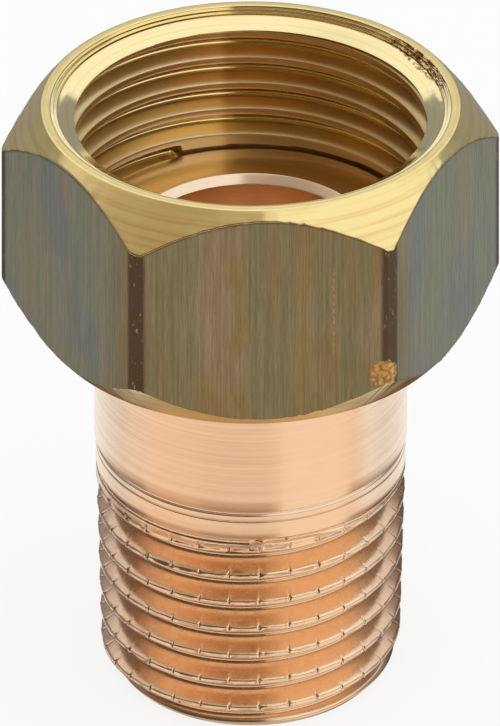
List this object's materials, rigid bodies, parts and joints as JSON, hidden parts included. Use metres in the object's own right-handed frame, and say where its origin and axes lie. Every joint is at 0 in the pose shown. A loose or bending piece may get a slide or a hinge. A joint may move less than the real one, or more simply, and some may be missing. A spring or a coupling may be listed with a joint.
{
  "type": "pipe union",
  "caption": "Flat-faced swivel pipe union: hexagon union nut with a parallel female thread, turning on a collared tailpiece with a through bore and a tapered male thread.",
  "frame": {"origin": "on the common axis of both threads, at the end face of the tail's male thread, which the part stands on", "axes": "+Z along the axis towards the mouth of the union nut; two of the nut's flats face +Y and -Y at rest"},
  "size_m": [0.0344, 0.03, 0.0375],
  "materials": {
    "nut_brass": "bright-turned yellow brass on chamfers, rim and thread; hexagon flats with dull olive oxide",
    "tail_bronze": "satin-turned pinkish bronze"
  },
  "bodies": {
    "tail": {"tailpiece": "tail_bronze"},
    "nut": {"union_nut": "nut_brass"}
  },
  "joints": [
    {"name": "nut_spin", "type": "hinge", "parent": "tail", "child": "nut", "pos_m": [0, 0, 0.0303], "axis": [0, 0, 1], "continuous": true}
  ]
}
